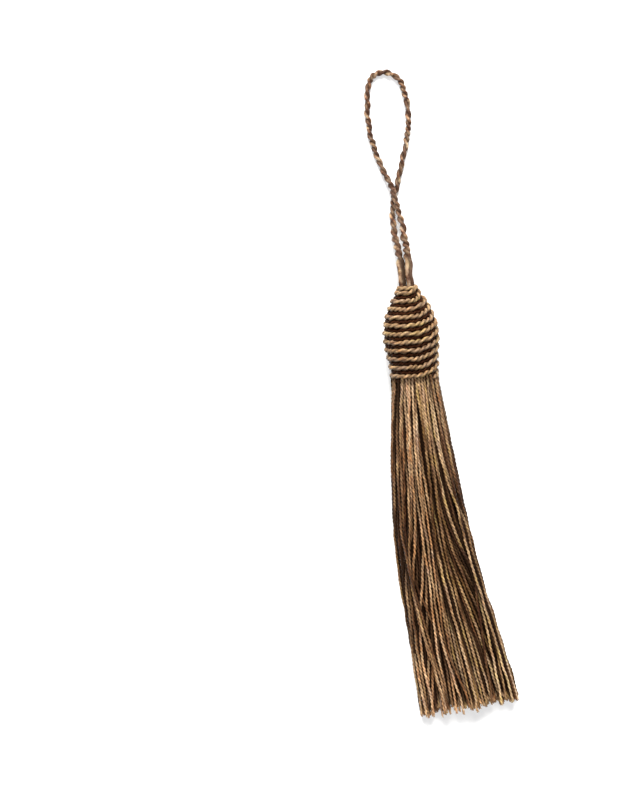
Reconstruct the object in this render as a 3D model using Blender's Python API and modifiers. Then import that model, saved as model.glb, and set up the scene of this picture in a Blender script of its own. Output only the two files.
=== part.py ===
"""A yarn tassel lying on a surface: a wound head, a skirt of loose strands and a hanging loop of cord.

Metres, +Z up. The head's axis lies along Y, with the loop towards +Y and the skirt towards -Y.
The origin is on the surface, under the middle of the head's widest part, on the flat of one of its rows.
Distances "below the head" are counted from the head's lower end, along -Y.
"""

import math

import bmesh
import bpy
import numpy as np
from mathutils import Matrix, Vector

MM = 0.001

# Head: one twisted cord wound round a bulb
HEAD_TILT = math.radians(4.0)  # loop end up, as the bulge lifts it
HEAD_LENGTH = 29.5 * MM
HEAD_SINK = 0.4 * MM  # how far the wound cord is pressed flat on the surface
ROW_PITCH = 2.85 * MM  # along the bulb's side
ROW_HEIGHT = 0.75 * MM
ROWS_WOUND = 15  # with more at each end than is kept
TURNS_BELOW = 2.25  # of them below the head's lower end, to the middle of the underside
WINDING_RADIUS = 10.0 * MM  # of the straight winding, before the bulb's outline bends it
ROW_STEPS = 28
CLIMB_FROM, CLIMB_TO = 0.51, 0.80  # the share of a turn, from the underside, where a row climbs to the next
RESTING_ROW = 4  # the row whose flat is at the origin

# The bulb's outline over its rows
#             from the lower end, radius
HEAD_OUTLINE = (
    (-6.0, 7.60),
    (0.0, 8.15),
    (4.0, 8.40),
    (8.0, 8.85),
    (11.0, 9.30),
    (14.0, 9.45),
    (17.0, 9.20),
    (20.0, 8.60),
    (23.0, 7.55),
    (25.5, 6.25),
    (27.5, 4.95),
    (29.5, 3.90),
    (32.5, 2.20),
)

# One row of the winding
#            share of the pitch, share of the row's height
ROW_SECTION = (
    (1.22, 0.0),
    (0.78, 0.0),
    (0.66, 0.72),
    (0.50, 1.0),
    (0.34, 0.72),
    (0.22, 0.0),
)

# Loop: one two-ply cord, both ends set into the head's top
CORD_DIAMETER = 2.2 * MM
CORD_TURN = 5.0 * MM
CORD_STEPS = 7  # for each turn of the twist
CORD_SIDES = 8
CORD_WAIST = 0.62  # of the radius, between the two plies
SEAT_RADIUS = 2.7 * MM
SEAT_DEPTH = 2.5 * MM
PIECE_GAP = 0.3 * MM

# The loop's route, from one leg in the head round to the other, which crosses over the first
#            across, beyond the head's lower end, height
LOOP_ROUTE = (
    (-1.20, 32.00, 10.20),
    (-1.25, 35.80, 9.30),
    (-1.45, 39.80, 7.15),
    (-1.80, 43.80, 4.65),
    (-2.25, 47.80, 2.60),
    (-2.45, 51.60, 1.50),
    (-2.05, 55.20, 1.12),
    (-1.30, 58.60, 1.10),
    (-0.35, 62.20, 1.10),
    (1.20, 66.80, 1.10),
    (2.90, 72.00, 1.10),
    (4.45, 77.20, 1.10),
    (5.50, 82.20, 1.10),
    (5.92, 87.20, 1.10),
    (5.75, 91.10, 1.10),
    (5.05, 94.40, 1.10),
    (4.20, 96.80, 1.10),
    (2.35, 99.15, 1.10),
    (-0.25, 100.35, 1.10),
    (-2.95, 100.20, 1.10),
    (-5.35, 98.70, 1.10),
    (-6.65, 96.20, 1.10),
    (-6.90, 92.80, 1.10),
    (-7.30, 89.60, 1.10),
    (-7.45, 86.00, 1.10),
    (-7.30, 81.90, 1.10),
    (-6.60, 77.40, 1.10),
    (-5.40, 72.80, 1.15),
    (-3.90, 68.40, 1.55),
    (-2.45, 64.40, 2.55),
    (-1.25, 60.60, 3.50),
    (-0.55, 56.80, 3.65),
    (0.10, 52.60, 3.65),
    (0.70, 48.20, 4.00),
    (1.10, 43.80, 5.25),
    (1.28, 39.60, 7.25),
    (1.25, 35.60, 9.25),
    (1.20, 32.00, 10.20),
)
LEG_OFFSET = 1.2 * MM  # each leg from the head's axis, inside its seat

# Skirt: strands fused into a neck bundle under the head, fanned out on the surface
NECK_RADIUS = 7.6 * MM
NECK_THICKNESS = 1.4 * MM
ROOT_RADIUS = 7.0 * MM
ROOT_SPACING = 1.13 * MM
STRAND_RADIUS_ROOT = 0.44 * MM
STRAND_RADIUS_END = 0.60 * MM
STRAND_GAP = 0.11 * MM
SKIRT_LENGTH = 110.0 * MM
CUT_UNEVEN = 1.6 * MM  # how far the cut ends vary each way
STATIONS = 44
STATIONS_KEPT = (0, 5, 11, 17, 24, 33, 44)
FALL = 0.26 * MM  # a strand's drop from one station to the next
FALL_FULL_AT = 15.0 * MM
DOME_FULL_AT = 60.0 * MM
DOME_SLACK = 7.0 * MM
DOME_EDGE = 0.9  # the pile's square drop to its sides: 1 comes down to the surface
YARN_SEED = 5

# The skirt's outline and the height of its pile
#            below the head, left side, right side, top
SKIRT_OUTLINE = (
    (0.0, -7.6, 7.6, 15.4),
    (10.0, -9.3, 9.0, 15.0),
    (26.0, -11.0, 10.8, 13.6),
    (59.0, -12.1, 15.3, 10.4),
    (88.0, -11.0, 21.5, 9.0),
    (110.0, -9.3, 26.0, 8.6),
)


def clear_scene():
    for thing in list(bpy.data.objects):
        bpy.data.objects.remove(thing, do_unlink=True)


def new_collection(name, hidden=False):
    collection = bpy.data.collections.new(name)
    collection.hide_render = hidden
    bpy.context.scene.collection.children.link(collection)
    return collection


def yarn_material(name, color, roughness):
    material = bpy.data.materials.new(name)
    material.use_nodes = True
    shader = material.node_tree.nodes["Principled BSDF"]
    shader.inputs["Base Color"].default_value = (*color, 1.0)
    shader.inputs["Roughness"].default_value = roughness
    shader.inputs["Metallic"].default_value = 0.0
    return material


def link_object(name, data, collection, material=None):
    thing = bpy.data.objects.new(name, data)
    collection.objects.link(thing)
    if material:
        data.materials.append(material)
    return thing


def as_guide(thing):
    thing.hide_render = True
    thing.display_type = "WIRE"
    return thing


def baked_mesh(thing, name):
    """The object's evaluated mesh, with coincident points made one."""
    graph = bpy.context.evaluated_depsgraph_get()
    mesh = bpy.data.meshes.new_from_object(thing.evaluated_get(graph))
    mesh.name = name
    work = bmesh.new()
    work.from_mesh(mesh)
    bmesh.ops.remove_doubles(work, verts=work.verts, dist=0.001 * MM)
    bmesh.ops.recalc_face_normals(work, faces=work.faces)
    work.to_mesh(mesh)
    work.free()
    return mesh


def boolean(thing, other, operation):
    modifier = thing.modifiers.new(f"{operation.lower()}_{other.name}", "BOOLEAN")
    modifier.operation = operation
    modifier.solver = "EXACT"
    modifier.object = other


def smooth_curve(knots, steps):
    """Points on a Catmull-Rom curve through the knots, with this many steps between two of them."""
    knots = np.asarray(knots, float)
    ends = np.vstack([2 * knots[0] - knots[1], knots, 2 * knots[-1] - knots[-2]])
    t = np.arange(steps)[:, None] / steps
    spans = []
    for before, start, end, after in zip(ends, ends[1:], ends[2:], ends[3:]):
        bend = 2 * before - 5 * start + 4 * end - after
        curl = 3 * (start - end) + after - before
        spans.append(start + 0.5 * t * ((end - before) + t * (bend + t * curl)))
    return np.vstack([*spans, knots[-1:]])


def lengths_along(points):
    steps = np.linalg.norm(np.diff(points, axis=0), axis=1)
    return np.concatenate([[0.0], np.cumsum(steps)])


def at_lengths(points, wanted):
    along = lengths_along(points)
    return np.stack([np.interp(wanted, along, column) for column in points.T], axis=1)


# ---------------------------------------------------------------- where the head lies


def head_outline():
    """Fine points of the bulb's outline as (distance from the lower end, radius)."""
    return smooth_curve(HEAD_OUTLINE, 16) * MM


def head_base_height():
    """The axis's height at the head's lower end, with the rows pressed on the surface."""
    station, radius = head_outline().T
    reach = station * math.sin(HEAD_TILT) - radius * math.cos(HEAD_TILT)
    return -HEAD_SINK - reach.min()


def row_climb(turn):
    """How much of a row's pitch is climbed after this share of a turn, counted from the underside."""
    t = np.clip((turn - CLIMB_FROM) / (CLIMB_TO - CLIMB_FROM), 0.0, 1.0)
    return t * t * (3.0 - 2.0 * t)


def resting_point():
    """The resting row's station and radius on the underside, where nothing of the pitch is climbed yet."""
    outline = head_outline()
    start = np.interp(0.0, outline[:, 0], lengths_along(outline))
    return at_lengths(outline, [start + (RESTING_ROW + 0.5) * ROW_PITCH])[0]


def head_base():
    """The middle of the head's lower end, placed so that the resting row's flat is at the origin."""
    station, radius = resting_point()
    forward = station * math.cos(HEAD_TILT) + radius * math.sin(HEAD_TILT)
    return Vector((0.0, -forward, head_base_height()))


def head_matrix():
    """The head's own Z axis runs from its lower end to the loop, and its own -Y side is on top."""
    turn = Matrix.Rotation(HEAD_TILT - math.pi / 2, 4, "X")
    return Matrix.Translation(head_base()) @ turn


# ---------------------------------------------------------------- head


def wound_strip(collection):
    """The winding as a straight helix, one row's section under a Screw, for the outline to bend."""
    points = [
        (WINDING_RADIUS + height * ROW_HEIGHT, 0.0, share * ROW_PITCH)
        for share, height in ROW_SECTION
    ]
    mesh = bpy.data.meshes.new("row_section")
    mesh.from_pydata(points, [(i, i + 1) for i in range(len(points) - 1)], [])
    strip = as_guide(link_object("row_section", mesh, collection))
    screw = strip.modifiers.new("winding", "SCREW")
    screw.axis = "Z"
    screw.angle = 2 * math.pi
    screw.screw_offset = ROW_PITCH
    screw.iterations = ROWS_WOUND
    screw.steps = screw.render_steps = ROW_STEPS
    return strip


def bend_to_bulb(mesh):
    """Moves each point of the straight winding onto the bulb's outline."""
    outline = head_outline()
    along = lengths_along(outline)
    first_row = np.interp(0.0, outline[:, 0], along) - TURNS_BELOW * ROW_PITCH
    slope = np.gradient(outline, along, axis=0)
    for vertex in mesh.vertices:
        angle = math.atan2(vertex.co.y, vertex.co.x)
        turn = (angle / (2 * math.pi) + 0.75) % 1.0
        height = math.hypot(vertex.co.x, vertex.co.y) - WINDING_RADIUS
        length = first_row + vertex.co.z + ROW_PITCH * (row_climb(turn) - turn)
        station, radius, rise, widen = (
            np.interp(length, along, column)
            for column in (*outline.T, *slope.T)
        )
        inward = (ROW_HEIGHT - height) / math.hypot(rise, widen)
        radius -= inward * rise
        station += inward * widen
        vertex.co = (radius * math.cos(angle), radius * math.sin(angle), station)


def trim_ends(mesh):
    """Cuts the winding square at both ends of the head and closes it there."""
    work = bmesh.new()
    work.from_mesh(mesh)
    for station, side in ((0.0, -1.0), (HEAD_LENGTH, 1.0)):
        geometry = [*work.verts, *work.edges, *work.faces]
        cut = bmesh.ops.bisect_plane(
            work,
            geom=geometry,
            dist=1e-7,
            plane_co=(0.0, 0.0, station),
            plane_no=(0.0, 0.0, side),
            clear_outer=True,
        )
        rim = [item for item in cut["geom_cut"] if isinstance(item, bmesh.types.BMEdge)]
        bmesh.ops.holes_fill(work, edges=rim, sides=0)
    bmesh.ops.recalc_face_normals(work, faces=work.faces)
    work.to_mesh(mesh)
    work.free()


def loop_seat_cutter(collection):
    bpy.ops.mesh.primitive_cylinder_add(
        vertices=20, radius=SEAT_RADIUS, depth=2 * SEAT_DEPTH
    )
    cutter = as_guide(bpy.context.object)
    cutter.name = "loop_seat"
    cutter.matrix_world = head_matrix() @ Matrix.Translation((0, 0, HEAD_LENGTH))
    move_to(cutter, collection)
    return cutter


def surface_cutter(collection):
    """The surface under the head, which presses the winding flat."""
    side = 2 * HEAD_LENGTH
    bpy.ops.mesh.primitive_cube_add(size=side, location=(0.0, 0.0, -side / 2))
    cutter = as_guide(bpy.context.object)
    cutter.name = "surface"
    move_to(cutter, collection)
    return cutter


def move_to(thing, collection):
    for holder in list(thing.users_collection):
        holder.objects.unlink(thing)
    collection.objects.link(thing)


def make_head(parts, cutters):
    strip = wound_strip(cutters)
    mesh = baked_mesh(strip, "head")
    bpy.data.objects.remove(strip, do_unlink=True)
    bend_to_bulb(mesh)
    trim_ends(mesh)
    mesh.shade_smooth()
    head = link_object("head", mesh, parts, yarn_material("head_cord", (0.42, 0.27, 0.13), 0.5))
    head.matrix_world = head_matrix()
    boolean(head, loop_seat_cutter(cutters), "DIFFERENCE")
    boolean(head, surface_cutter(cutters), "DIFFERENCE")
    return head


# ---------------------------------------------------------------- skirt


def skirt_outline_at(distance):
    """Left side, right side and top of the skirt's pile at this distance below the head."""
    table = np.array(SKIRT_OUTLINE) * MM
    return [np.interp(distance, table[:, 0], column) for column in table.T[1:]]


def strand_radius(distance):
    share = distance / SKIRT_LENGTH
    return STRAND_RADIUS_ROOT + (STRAND_RADIUS_END - STRAND_RADIUS_ROOT) * share


def root_places():
    """Where the strands leave the neck: an even triangular lattice, as (across, above the axis)."""
    most = int(2 * ROOT_RADIUS / ROOT_SPACING) + 1
    rise = ROOT_SPACING * math.sqrt(3) / 2
    places = [
        (column * ROOT_SPACING / 2, row * rise)
        for column in range(-most, most + 1)
        for row in range(-most, most + 1)
        if (column + row) % 2 == 0
    ]
    return np.array([place for place in places if math.hypot(*place) <= ROOT_RADIUS])


def push_apart(places, reach, floor, sides, dome_top, slack, rounds):
    """Strands nearer than their reach part, and stay on the surface and inside the pile's outline."""
    itself = np.eye(len(places))
    for _ in range(rounds):
        apart = places[:, None, :] - places[None, :, :]
        distance = np.hypot(apart[..., 0], apart[..., 1]) + itself + 1e-12
        short = np.clip(reach - distance, 0.0, None) * (1.0 - itself)
        places = places + 0.45 * (apart / distance[..., None] * short[..., None]).sum(axis=1)
        across = np.clip(places[:, 0], *sides)
        share = (2 * across - sides[0] - sides[1]) / (sides[1] - sides[0])
        dome = floor + slack + (dome_top - floor) * np.sqrt(1.0 - DOME_EDGE * share**2)
        places = np.stack([across, np.clip(places[:, 1], floor, dome)], axis=1)
    return places


def settled_strands():
    """Each strand's points as (across, below the head, height), worked out station by station.

    The bundle leaves the neck as a round, widens with the skirt's outline, and falls until it rests.
    """
    places = root_places()
    places[:, 1] = head_base_height() + places[:, 1] * math.cos(HEAD_TILT)
    left, right, _ = skirt_outline_at(0.0)
    found = []
    for station in range(STATIONS + 1):
        distance = SKIRT_LENGTH * station / STATIONS
        radius = strand_radius(distance)
        new_left, new_right, top = skirt_outline_at(distance)
        share = (places[:, 0] - left) / (right - left)
        left, right = new_left, new_right
        places[:, 0] = left + share * (right - left)
        if station:
            pile = (
                2 * radius + STRAND_GAP,
                radius * math.cos(math.pi / 4),  # a square strand rests on its side
                (left + radius, right - radius),
                top,
                DOME_SLACK * max(0.0, 1.0 - distance / DOME_FULL_AT),
            )
            for _ in range(6):
                places[:, 1] -= FALL / 6 * min(1.0, distance / FALL_FULL_AT)
                places = push_apart(places, *pile, rounds=6)
            places = push_apart(places, *pile, rounds=60)
        found.append(np.insert(places, 1, distance, axis=1))
    return np.stack(found, axis=1)


def strand_curve(collection):
    """All strands as square-sided splines of one curve, each lying on a flat side."""
    rng = np.random.default_rng(YARN_SEED)
    base = head_base()
    curve = bpy.data.curves.new("strands", "CURVE")
    curve.dimensions = "3D"
    curve.twist_mode = "Z_UP"
    curve.bevel_depth = STRAND_RADIUS_END
    curve.bevel_resolution = 0
    curve.use_fill_caps = True
    for strand in settled_strands():
        points = strand[list(STATIONS_KEPT)]
        radii = strand_radius(points[:, 1])  # of the settled stations, so that each one rests level
        points[0, 1] = PIECE_GAP + NECK_THICKNESS / 2
        points[-1, 1] += rng.uniform(-CUT_UNEVEN, CUT_UNEVEN)
        spline = curve.splines.new("POLY")
        spline.points.add(len(points) - 1)
        for point, radius, (across, distance, height) in zip(spline.points, radii, points):
            point.co = (across, base.y - distance, height, 1.0)
            point.radius = radius / STRAND_RADIUS_END
            point.tilt = math.pi / 4
    return link_object("strands", curve, collection)


def neck_bundle(collection):
    """The strands' roots pressed into one short round plug, just under the head."""
    bpy.ops.mesh.primitive_cylinder_add(
        vertices=48, radius=NECK_RADIUS, depth=NECK_THICKNESS
    )
    plug = bpy.context.object
    plug.name = "neck"
    depth = -PIECE_GAP - NECK_THICKNESS / 2
    plug.matrix_world = head_matrix() @ Matrix.Translation((0, 0, depth))
    move_to(plug, collection)
    return as_guide(plug)


def make_skirt(parts, cutters):
    strands = strand_curve(cutters)
    mesh = baked_mesh(strands, "skirt")
    bpy.data.objects.remove(strands, do_unlink=True)
    skirt = link_object("skirt", mesh, parts, yarn_material("skirt_yarn", (0.40, 0.25, 0.12), 0.5))
    boolean(skirt, neck_bundle(cutters), "UNION")
    return skirt


# ---------------------------------------------------------------- loop


def loop_points():
    """The route of the loop's centreline, with both ends seated in the head's top."""
    base = head_base()
    seat_floor = HEAD_LENGTH - SEAT_DEPTH + PIECE_GAP
    legs = [head_matrix() @ Vector((side * LEG_OFFSET, 0.0, seat_floor)) for side in (-1, 1)]
    route = [(x * MM, base.y + y * MM, z * MM) for x, y, z in LOOP_ROUTE]
    return smooth_curve([tuple(legs[0]), *route, tuple(legs[1])], 12)


def ply_section(collection):
    """The cord's section: two plies side by side, with a waist between them."""
    curve = bpy.data.curves.new("cord_section", "CURVE")
    curve.dimensions = "2D"
    spline = curve.splines.new("POLY")
    spline.points.add(CORD_SIDES - 1)
    spline.use_cyclic_u = True
    for i, point in enumerate(spline.points):
        angle = -2 * math.pi * (i + 0.5) / CORD_SIDES
        share = CORD_WAIST + (1 - CORD_WAIST) * abs(math.cos(angle)) ** 0.5
        radius = CORD_DIAMETER / 2 * share
        point.co = (radius * math.cos(angle), radius * math.sin(angle), 0.0, 1.0)
    return as_guide(link_object("cord_section", curve, collection))


def make_loop(parts, guides):
    fine = loop_points()
    length = lengths_along(fine)[-1]
    turns = length / CORD_TURN
    count = round(turns * CORD_STEPS) + 1
    points = at_lengths(fine, np.linspace(0.0, length, count))
    curve = bpy.data.curves.new("loop_cord", "CURVE")
    curve.dimensions = "3D"
    curve.bevel_mode = "OBJECT"
    curve.bevel_object = ply_section(guides)
    curve.use_fill_caps = True
    spline = curve.splines.new("POLY")
    spline.points.add(count - 1)
    for i, (point, place) in enumerate(zip(spline.points, points)):
        point.co = (*place, 1.0)
        point.tilt = -2 * math.pi * turns * i / (count - 1)
    return link_object("loop_cord", curve, parts, yarn_material("loop_cord", (0.30, 0.20, 0.11), 0.55))


def main():
    clear_scene()
    parts = new_collection("tassel")
    cutters = new_collection("tassel_cutters", hidden=True)
    make_head(parts, cutters)
    make_skirt(parts, cutters)
    make_loop(parts, cutters)


main()
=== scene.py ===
"""The looks of the tassel: yarn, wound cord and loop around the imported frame.

Metres, +Z up, in the part's own frame. The head's axis lies along Y, with the loop towards +Y and the
skirt towards -Y. Distances "below the head" are counted from the head's lower end, along -Y.
"""

import math

import bpy
import numpy as np
from mathutils import Matrix, Vector


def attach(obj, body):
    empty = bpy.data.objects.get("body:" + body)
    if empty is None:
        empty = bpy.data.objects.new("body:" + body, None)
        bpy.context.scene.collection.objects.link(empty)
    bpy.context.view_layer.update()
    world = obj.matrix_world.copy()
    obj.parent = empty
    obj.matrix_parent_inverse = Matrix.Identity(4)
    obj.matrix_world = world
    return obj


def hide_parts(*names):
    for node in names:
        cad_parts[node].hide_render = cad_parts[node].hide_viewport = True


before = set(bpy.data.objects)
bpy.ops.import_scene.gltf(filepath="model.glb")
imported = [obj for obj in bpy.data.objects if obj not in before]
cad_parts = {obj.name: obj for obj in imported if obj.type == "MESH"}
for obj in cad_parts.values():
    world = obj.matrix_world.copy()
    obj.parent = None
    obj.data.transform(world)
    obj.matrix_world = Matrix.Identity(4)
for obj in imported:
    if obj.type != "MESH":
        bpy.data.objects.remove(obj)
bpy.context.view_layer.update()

MM = 0.001

# ---- sizes shared with the part

HEAD_TILT = math.radians(4.0)
HEAD_LENGTH = 29.5 * MM
HEAD_SINK = 0.4 * MM
ROW_PITCH = 2.85 * MM
CLIMB_FROM, CLIMB_TO = 0.51, 0.80  # the share of a turn, from the underside, where a row climbs
RESTING_ROW = 4

# The bulb's outline over its rows
#             from the lower end, radius
HEAD_OUTLINE = (
    (-6.0, 7.60),
    (0.0, 8.15),
    (4.0, 8.40),
    (8.0, 8.85),
    (11.0, 9.30),
    (14.0, 9.45),
    (17.0, 9.20),
    (20.0, 8.60),
    (23.0, 7.55),
    (25.5, 6.25),
    (27.5, 4.95),
    (29.5, 3.90),
    (32.5, 2.20),
)

# The loop's route, from one leg in the head round to the other, which crosses over the first
#            across, beyond the head's lower end, height
LOOP_ROUTE = (
    (-1.20, 32.00, 10.20),
    (-1.25, 35.80, 9.30),
    (-1.45, 39.80, 7.15),
    (-1.80, 43.80, 4.65),
    (-2.25, 47.80, 2.60),
    (-2.45, 51.60, 1.50),
    (-2.05, 55.20, 1.12),
    (-1.30, 58.60, 1.10),
    (-0.35, 62.20, 1.10),
    (1.20, 66.80, 1.10),
    (2.90, 72.00, 1.10),
    (4.45, 77.20, 1.10),
    (5.50, 82.20, 1.10),
    (5.92, 87.20, 1.10),
    (5.75, 91.10, 1.10),
    (5.05, 94.40, 1.10),
    (4.20, 96.80, 1.10),
    (2.35, 99.15, 1.10),
    (-0.25, 100.35, 1.10),
    (-2.95, 100.20, 1.10),
    (-5.35, 98.70, 1.10),
    (-6.65, 96.20, 1.10),
    (-6.90, 92.80, 1.10),
    (-7.30, 89.60, 1.10),
    (-7.45, 86.00, 1.10),
    (-7.30, 81.90, 1.10),
    (-6.60, 77.40, 1.10),
    (-5.40, 72.80, 1.15),
    (-3.90, 68.40, 1.55),
    (-2.45, 64.40, 2.55),
    (-1.25, 60.60, 3.50),
    (-0.55, 56.80, 3.65),
    (0.10, 52.60, 3.65),
    (0.70, 48.20, 4.00),
    (1.10, 43.80, 5.25),
    (1.28, 39.60, 7.25),
    (1.25, 35.60, 9.25),
    (1.20, 32.00, 10.20),
)
LEG_OFFSET = 1.2 * MM
SEAT_DEPTH = 2.5 * MM
PIECE_GAP = 0.3 * MM
CORD_DIAMETER = 2.2 * MM

SKIRT_LENGTH = 110.0 * MM

# The skirt's outline and the height of its pile. The first two rows are the looks' own: the yarns fill
# the winding's mouth, where the part has a narrower neck
#            below the head, left side, right side, top
SKIRT_OUTLINE = (
    (0.0, -8.1, 7.9, 15.6),
    (10.0, -9.5, 9.1, 15.1),
    (26.0, -11.0, 10.8, 13.6),
    (59.0, -12.1, 15.3, 10.4),
    (88.0, -11.0, 21.5, 9.0),
    (110.0, -9.3, 26.0, 8.6),
)

# ---- sizes of the looks alone

# Camera: the photo's picture is 640 by 800 pixels, and one of them is this long on the surface
PIXEL = 0.3318 * MM
PICTURE_HEIGHT = 800
CAMERA_TARGET = Vector((-31.69, -18.49, 0.0)) * MM
CAMERA_DISTANCE = 0.85
CAMERA_ROLL = math.radians(5.3)  # the tassel lies that much askew in the picture
CAMERA_LEAN = math.radians(4.5)  # from straight above, towards the loop
CLIP_START, CLIP_END = 0.05, 10.0  # the nearest and furthest that it sees

# Light: two soft suns, each as (direction towards it, strength, spread in degrees, color), and the
# surroundings: what they give, and how bright they look behind the floor
KEY_LIGHT = ((0.05, 0.77, 0.69), 6.4, 30.0, (1.0, 0.985, 0.96))
FILL_LIGHT = ((-0.15, -0.40, 0.90), 2.2, 70.0, (0.97, 0.98, 1.0))
AMBIENT, BACKDROP = 0.22, 1.0
FLOOR_SIZE = 6.0
FLOOR_DROP = 0.1 * MM  # under the part, so that the two never share a face
FLOOR_COLOR = (0.93, 0.93, 0.925, 1.0)
FLOOR_ROUGHNESS = 0.9

# How finely curves are followed, and how flat what lies on the floor is pressed
OUTLINE_STEPS, ROUTE_STEPS = 16, 12  # between two points of the head's outline, and of the loop's route
LOWEST = 0.02 * MM  # of any point, over the floor
WAVES = 5  # sines in one uneven line
WAVE_LENGTHS = (0.6, 1.8)  # of the wavelength asked for

# Head: a bright cord wound in rows, with a thinner dark one sunk between them. turn is one turn of the
# two plies, sink how far the cord's middle is under the rows' crest, row its place in the row's width,
# step the distance between its rings, and shade the painted shade on its side towards the skirt
BRIGHT_CORD = dict(
    radius=0.87 * MM, turn=4.8 * MM, sink=0.87 * MM, row=0.5, step=0.28 * MM, sides=14, shade=0.85
)
DARK_CORD = dict(
    radius=0.66 * MM, turn=3.2 * MM, sink=1.25 * MM, row=0.0, step=0.34 * MM, sides=10, shade=0.0
)
HEAD_PLIES = 0.43  # how far each ply's middle is from the cord's, of the cord's radius
HEAD_TONE = 0.6
HEAD_NUMBER, CORE_NUMBER, LOOP_NUMBER = 0.61, 0.2, 0.37  # each gives patches of its own
SHADE_FROM, SHADE_FADE = 0.25, 0.9  # of the cord's radius, up the head: where a row's painted shade begins, and how far it takes to deepen
FIRST_TURN, LAST_TURN = -0.35, 11.95  # where the winding starts and ends, in turns up the head
LAST_ROW = 11.05  # rows up, where its last turn closes round the loop's legs
WINDING_POINTS = 6000

# The closed bulb under the two cords
CORE_SINK = 1.55 * MM
CORE_FROM, CORE_TO = 0.6 * MM, 29.6 * MM
CORE_SHIFT = 0.3 * MM  # towards the skirt
CORE_LEAST_RADIUS = 0.8 * MM
CORE_SIDES, CORE_RINGS = 72, 48

# How unevenly the wound cord lies, each as (size, wavelength)
ROW_SLIDE = (0.10 * MM, 8 * MM)  # along the head
ROW_LIFT = (0.06 * MM, 11 * MM)  # off the head
ROW_GIRTH = (0.055, 3.5 * MM)  # share of the radius
ROW_TWIST = (0.75, 12 * MM)  # radians, by which the twist runs ahead or lags

# Loop: one two-ply cord, and how unevenly it lies
LOOP_TURN = 5.0 * MM
LOOP_STEP, LOOP_SIDES = 0.26 * MM, 16
LOOP_PLIES = 0.42
LOOP_GIRTH = 0.94  # of the cord's radius: the plies press into each other
LOOP_SLIDE = (0.10 * MM, 9 * MM)
LOOP_GIRTH_WAVE = (0.035, 4 * MM)
LOOP_TWIST = (0.6, 14 * MM)

# The loop's two legs are fuller near the head, and their plies run straight where they leave it
LEG_GIRTH = ((0.0, 1.20), (7.0, 1.26), (11.0, 1.32), (19.0, 1.24), (28.0, 1.00))  # (mm up, girth)
LEG_STRAIGHT, LEG_WINDS = 9.0 * MM, 7.0 * MM
LEG_ANGLES = (105.0, 245.0)  # degrees from upright, where the darker ply of the two legs lies
LEG_SHADE_REACH, LEG_SHADE_FADE = 11.0 * MM, 6.6 * MM  # how far up the legs' painted shade reaches, and how it fades
LEG_SHADE_LEAST, LEG_SHADE_INSIDE = 0.1, 0.85  # the painted shade on a leg there, and what its inner side adds
# Where a leg's painted inner shade begins and how far it deepens, in radii from its middle, and how much
LEFT_LEG_SHADE = (-0.05, 0.4, 1.0)
RIGHT_LEG_SHADE = (0.6, 0.4, 0.6)

# Skirt: yarns of two plies
YARN_RADIUS_ROOT = 0.50 * MM
YARN_RADIUS_END = 0.47 * MM
YARN_GIRTHS = (0.84, 1.08)  # one yarn against another
YARN_TURN = 2.9 * MM
YARN_TURNS = (0.92, 1.08)
YARN_PLIES = 0.34
YARN_SIDES = 8
YARN_START = 1.0 * MM  # above the head's lower end, inside the winding
FINE_STEP, COARSE_STEP = 0.38 * MM, 0.62 * MM  # between a yarn's rings, in sight and under the pile
IN_SIGHT = 0.9  # depth in the pile, up to which a yarn still shows
YARN_CURVE_STEPS = 6
YARN_SLIDE = (0.07 * MM, 11 * MM)  # (size, wavelength) of a yarn's unevenness
YARN_LIFT = (0.06 * MM, 11 * MM)
PRESSED = 0.96  # of a yarn's radius, where it lies on the surface or on others
SKIRT_PIECES = 6
YARN_SEED, COLOR_SEED = 11, 2

# The yarns' roots: rings inside one another, and locks that keep together
ROOT_RADIUS = 7.35 * MM
ROOT_SPACING = 1.0 * MM
ROOT_RING_SPACING = 0.93  # of that
LOCKS = 24
LOCK_SCATTER = 0.5 * MM  # of a lock's middle from its even place

# The pile, settled station by station down the skirt
STATION_STEP = 2.5 * MM
FALL = 0.26 * MM  # a yarn's drop from one station to the next
FALL_FULL_AT = 15.0 * MM
DOME_FULL_AT = 60.0 * MM
DOME_SLACK = 7.0 * MM
DOME_EDGE = 0.9  # the pile's square drop to its sides: 1 comes down to the surface
PILE_SETTLES = 0.6 * MM  # how much lower the pile lies than its outline, which the top yarns reach
LOCK_REACH = 0.70  # of a yarn's width, between the yarns of one lock at the neck
LOCK_GAP = 0.24 * MM  # between two locks at the neck
LOCK_LIFT = 0.6 * MM  # how far one lock may lie above or under the pile's outline
LOCKS_OPEN_FROM, LOCKS_OPEN_OVER = 7.0 * MM, 38.0 * MM
LOCK_PULL = 0.045  # how strongly a lock draws its yarns together
PULL_LOST = 0.4  # of that, once the locks have opened
PULL_FADES_FROM, PULL_FADES_OVER, PULL_AT_END = 80.0 * MM, 25.0 * MM, 0.4
PULL_GROWS_OVER, PULL_AT_NECK = 20.0 * MM, 0.3
YARN_ROOM = 0.26 * MM  # the usual gap beside a yarn, where the locks have opened
MOST_ROOM = 3.0  # of the usual one
WANDER, WANDER_LENGTH = 0.56 * MM, 70 * MM  # how far a yarn strays across while the pile settles
PUSH = 0.45  # the share of an overlap that each of two yarns gives way at once
SETTLING_STEPS, SETTLING_ROUNDS, LAST_ROUNDS = 6, 6, 30
STRAIGHTENING, STRAY_STRAIGHTENING = 34, 2  # rounds that draw each yarn straighter than it settled
WIDEST_STEP = 0.60 * MM  # between two yarns across the pile: the surface under it never shows

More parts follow.
